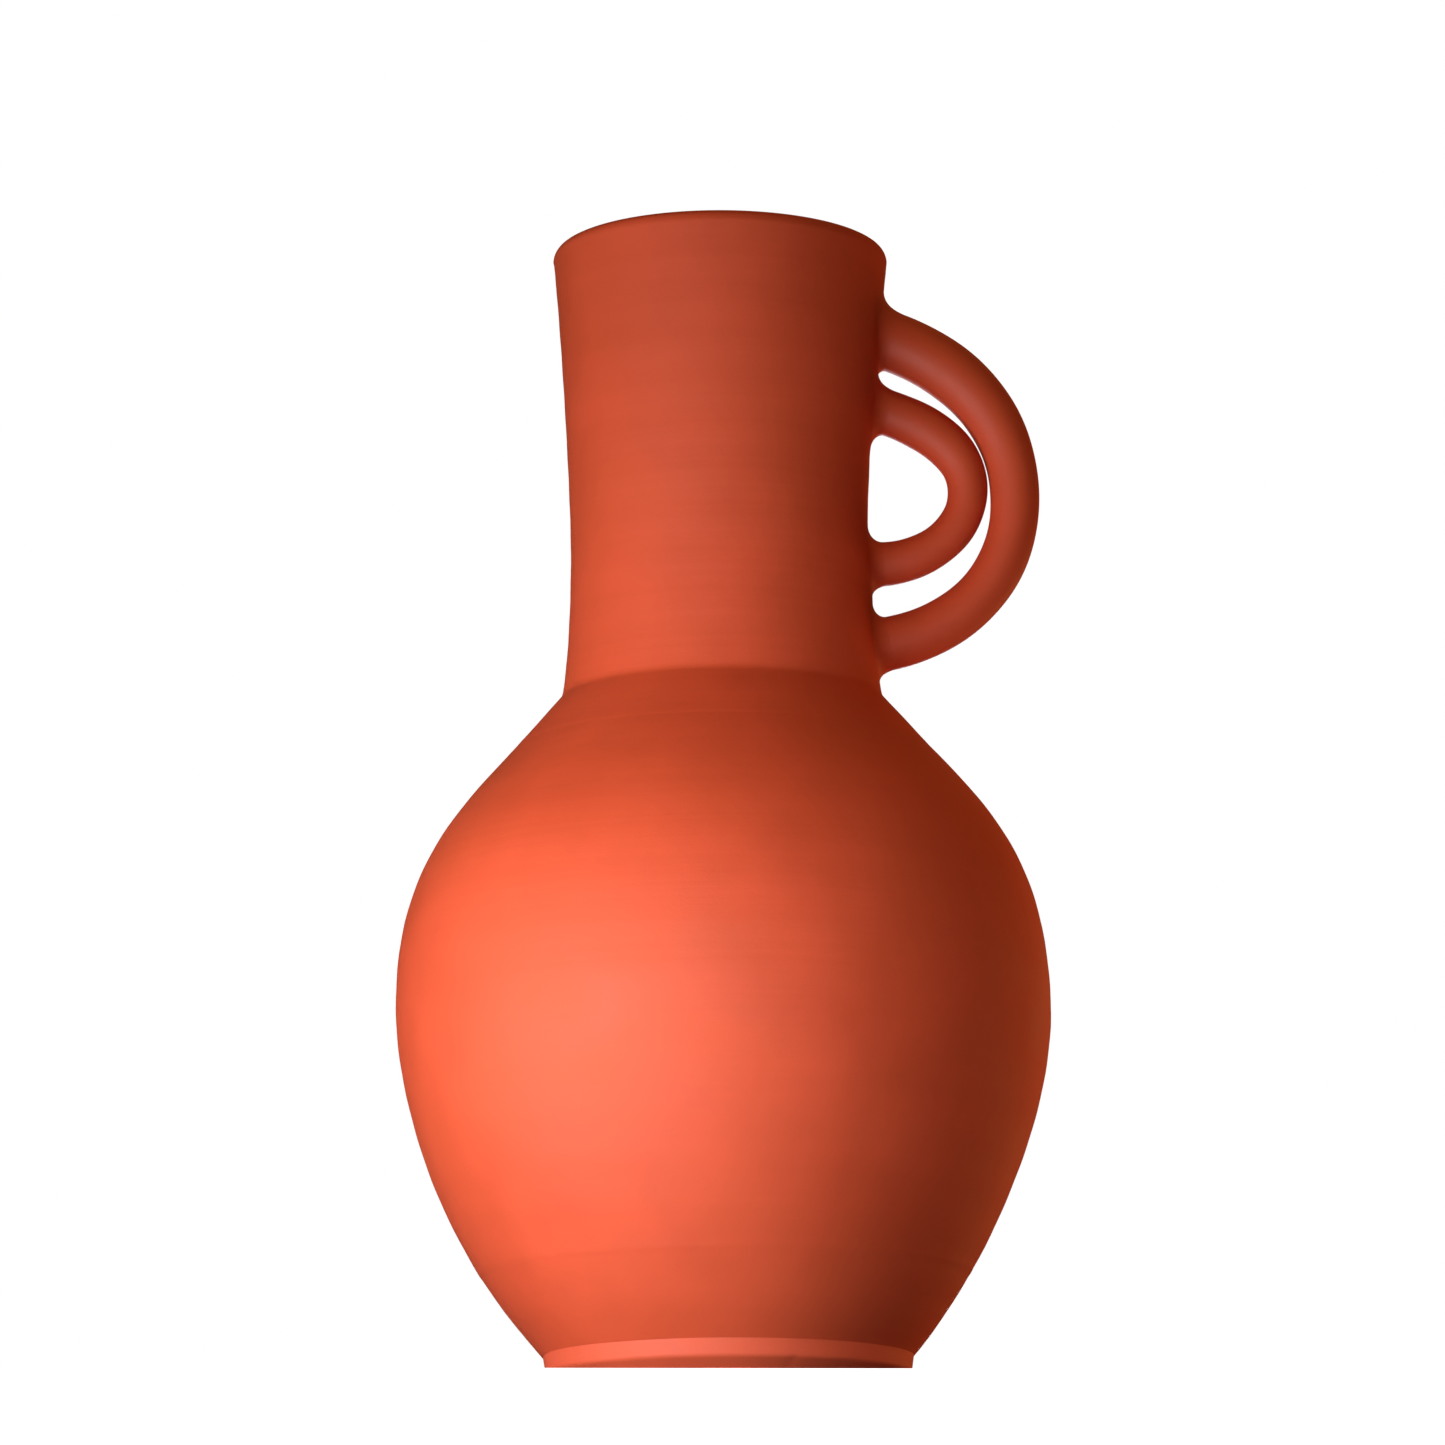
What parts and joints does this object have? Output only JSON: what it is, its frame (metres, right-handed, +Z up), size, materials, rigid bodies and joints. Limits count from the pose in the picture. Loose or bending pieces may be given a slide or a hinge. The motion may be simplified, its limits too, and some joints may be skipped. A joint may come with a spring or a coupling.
{
  "type": "ceramic pitcher",
  "caption": "Terracotta pitcher with a round belly, a tall waisted neck and a double loop handle on one side of the neck, glazed inside.",
  "frame": {"origin": "centre of the foot on the surface that the pitcher stands on, on the vessel's axis", "axes": "+Z up along the vessel's axis, +X from the axis towards the handles, +Y to the left of the handles seen from the vessel"},
  "size_m": [0.1692, 0.1692, 0.3],
  "materials": {
    "body_clay": "matte unglazed terracotta with faint throwing lines",
    "foot_clay": "matte trimmed terracotta, a little paler",
    "joint_clay": "matte terracotta smoothed by hand",
    "inside_glaze": "glossy clear glaze over terracotta"
  },
  "bodies": {
    "root": {"base": "foot_clay", "belly": "body_clay", "collar": "joint_clay", "neck": "body_clay", "outer_handle": "body_clay", "outer_handle_upper_fillet": "joint_clay", "outer_handle_lower_fillet": "joint_clay", "inner_handle": "body_clay", "inner_handle_upper_fillet": "joint_clay", "inner_handle_lower_fillet": "joint_clay", "floor_seam_coil": "joint_clay", "neck_seam_coil": "joint_clay", "glaze_lining": "inside_glaze"}
  },
  "joints": []
}
